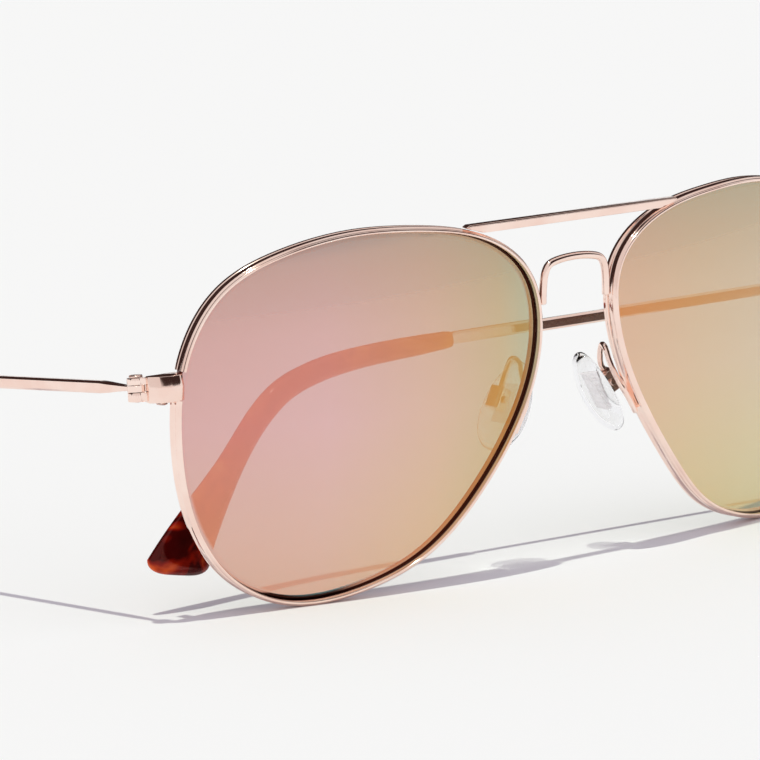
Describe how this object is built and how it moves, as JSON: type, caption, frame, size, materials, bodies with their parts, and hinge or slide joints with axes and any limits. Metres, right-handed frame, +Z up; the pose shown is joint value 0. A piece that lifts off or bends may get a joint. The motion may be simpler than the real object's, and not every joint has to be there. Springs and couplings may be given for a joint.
{
  "type": "sunglasses",
  "caption": "Metal aviator sunglasses with teardrop mirrored lenses, a double bridge, clear nose pads and folding temples with curved acetate tips; one temple open, the other folded.",
  "frame": {"origin": "middle of the base of the bounding box, on the surface the glasses stand on", "axes": "+Z up; +Y from the lenses back along the open temple; +X across the front towards the folded temple's hinge. Nodes named left are at low X and nodes named right at high X"},
  "size_m": [0.1406, 0.1434, 0.0511],
  "materials": {
    "rose_gold": "polished pale rose gold plate",
    "screw_steel": "plated",
    "mirror_lens": "gradient tint with a pink and gold mirror coat",
    "tortoise_acetate": "glossy tortoiseshell",
    "clear_silicone": "clear, glossy"
  },
  "bodies": {
    "front": {"rim_left": "rose_gold", "rim_right": "rose_gold", "bridge": "rose_gold", "top_bar": "rose_gold", "end_piece_left": "rose_gold", "end_piece_right": "rose_gold", "rim_lock_left": "rose_gold", "rim_lock_right": "rose_gold", "pad_arm_left": "rose_gold", "pad_arm_right": "rose_gold", "pad_box_left": "rose_gold", "pad_box_right": "rose_gold", "rim_lock_screw_left": "screw_steel", "rim_lock_screw_right": "screw_steel", "hinge_screw_left": "screw_steel", "hinge_screw_right": "screw_steel", "pad_screw_left": "screw_steel", "pad_screw_right": "screw_steel", "lens_left": "mirror_lens", "lens_right": "mirror_lens"},
    "temple_left": {"temple_left": "rose_gold", "temple_tip_left": "tortoise_acetate"},
    "temple_right": {"temple_right": "rose_gold", "temple_tip_right": "tortoise_acetate"},
    "pad_left": {"nose_pad_left": "clear_silicone", "pad_insert_left": "rose_gold"},
    "pad_right": {"nose_pad_right": "clear_silicone", "pad_insert_right": "rose_gold"}
  },
  "joints": [
    {"name": "left_temple_fold", "type": "hinge", "parent": "front", "child": "temple_left", "pos_m": [-0.06874, -0.05905, 0.03271], "axis": [-0.0087, -0.0454, -0.9989], "range_deg": [0, 76]},
    {"name": "right_temple_open", "type": "hinge", "parent": "front", "child": "temple_right", "pos_m": [0.06906, -0.05905, 0.03271], "axis": [0.0087, -0.0454, -0.9989], "range_deg": [0, 86.2]},
    {"name": "left_pad_rock", "type": "hinge", "parent": "front", "child": "pad_left", "pos_m": [-0.01024, -0.06548, 0.0244], "axis": [-0.1392, 0.9873, 0.076], "range_deg": [-10, 10]},
    {"name": "right_pad_rock", "type": "hinge", "parent": "front", "child": "pad_right", "pos_m": [0.01056, -0.06548, 0.0244], "axis": [-0.1392, -0.9873, -0.076], "range_deg": [-10, 10]}
  ]
}
